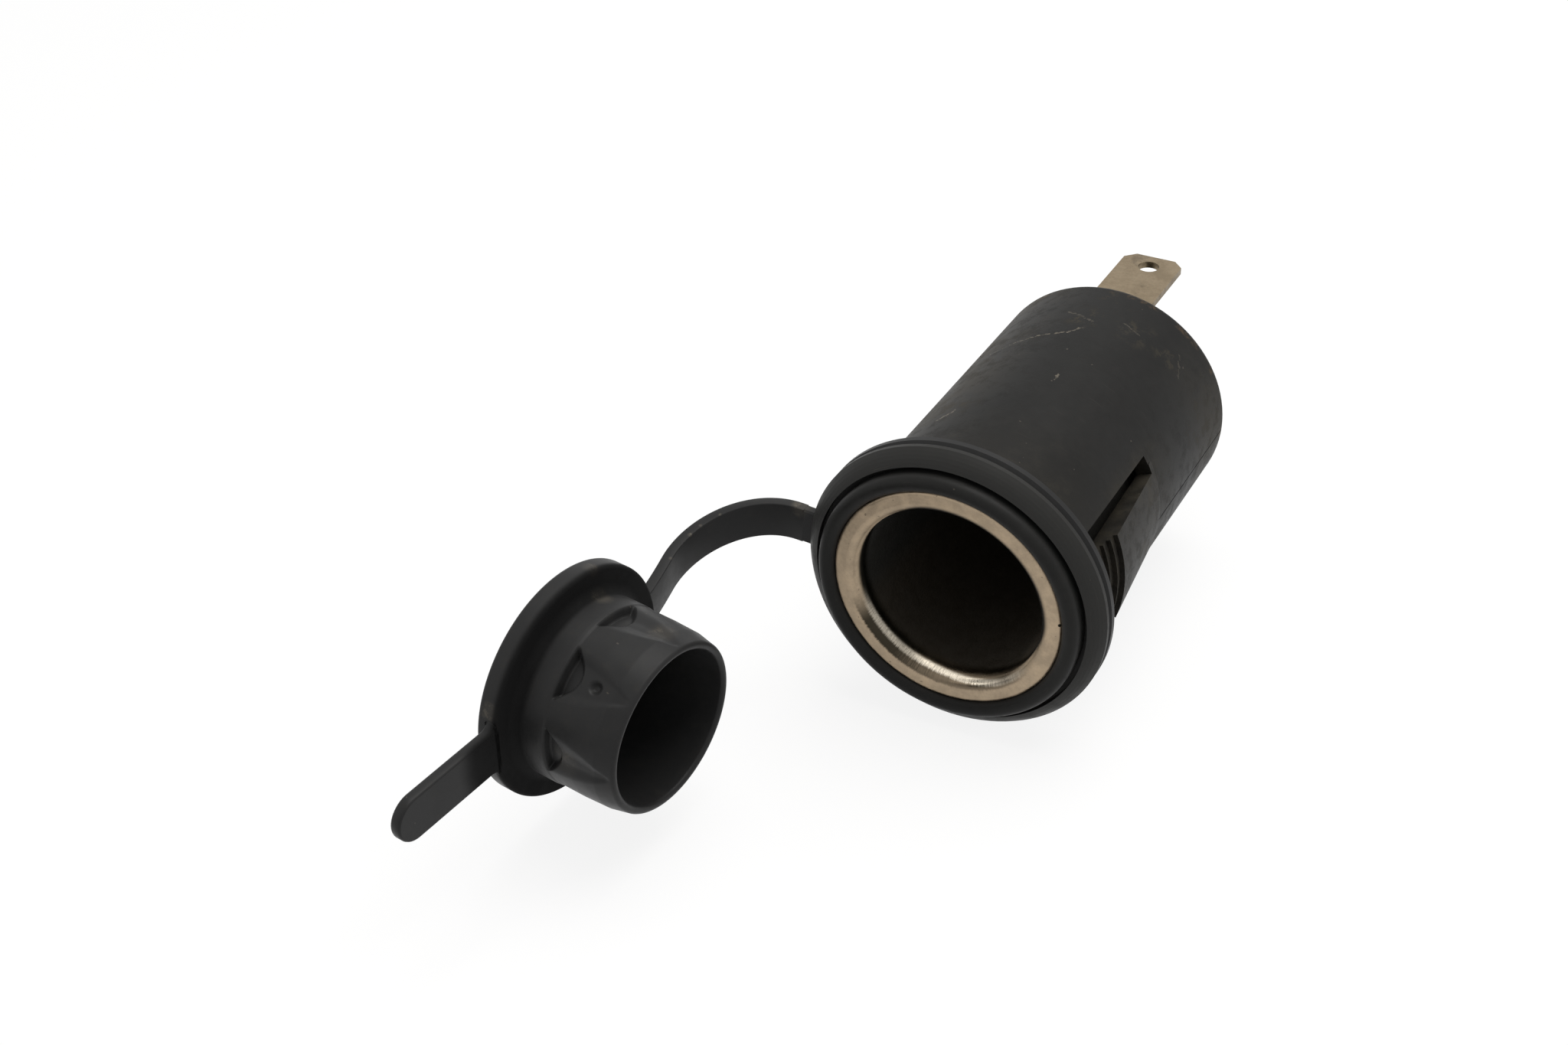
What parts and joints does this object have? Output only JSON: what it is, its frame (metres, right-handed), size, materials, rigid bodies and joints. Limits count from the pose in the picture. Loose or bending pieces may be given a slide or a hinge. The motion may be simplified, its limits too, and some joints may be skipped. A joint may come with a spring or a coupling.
{
  "type": "car 12v power socket",
  "caption": "Snap-in vehicle power socket: metal-lined well in a black barrel with stepped snap fingers, blade terminals and a rubber plug cap on a strap.",
  "frame": {"origin": "on the socket's axis, in the plane of the panel face that the rubber ring seats on", "axes": "+Y along the axis towards the terminals, the mouth faces -Y; +Z towards the ground blade; the cap hangs on the -X side"},
  "size_m": [0.0494, 0.1101, 0.034],
  "materials": {
    "housing_plastic": "satin black glass-filled nylon with a dust film",
    "nickel_steel": "worn satin nickel plating",
    "contact_brass": "dull brass",
    "tin_plate": "tin-plated terminal",
    "insulator": "brown laminated paper",
    "cap_rubber": "smooth black rubber"
  },
  "bodies": {
    "socket": {"housing": "housing_plastic", "well": "nickel_steel", "contact_disc": "contact_brass", "inner_washer": "insulator", "shoulder_washer": "insulator", "centre_rivet": "contact_brass", "centre_terminal": "tin_plate", "ground_terminal": "tin_plate", "ground_rivets": "tin_plate"},
    "ring": {"cap_ring": "cap_rubber"},
    "strap": {"cap_strap": "cap_rubber"},
    "cap": {"cap": "cap_rubber"}
  },
  "joints": [
    {"name": "ring_swivel", "type": "hinge", "parent": "socket", "child": "ring", "pos_m": [0, 0, 0], "axis": [0, 1, 0], "continuous": true},
    {"name": "cap_push", "type": "slide", "parent": "ring", "child": "strap", "axis": [0, 1, 0], "range_m": [0, 0.0124], "stiffness_N_per_m": 8, "deforming": ["cap_strap"]},
    {"name": "cap_swing", "type": "hinge", "parent": "strap", "child": "cap", "pos_m": [-0.01995, -0.01144, 0], "axis": [0, -0.0816, 0.9967], "range_deg": [-83.5, 96.5], "stiffness_Nm_per_rad": 0.0006, "deforming": ["cap_strap"]}
  ]
}
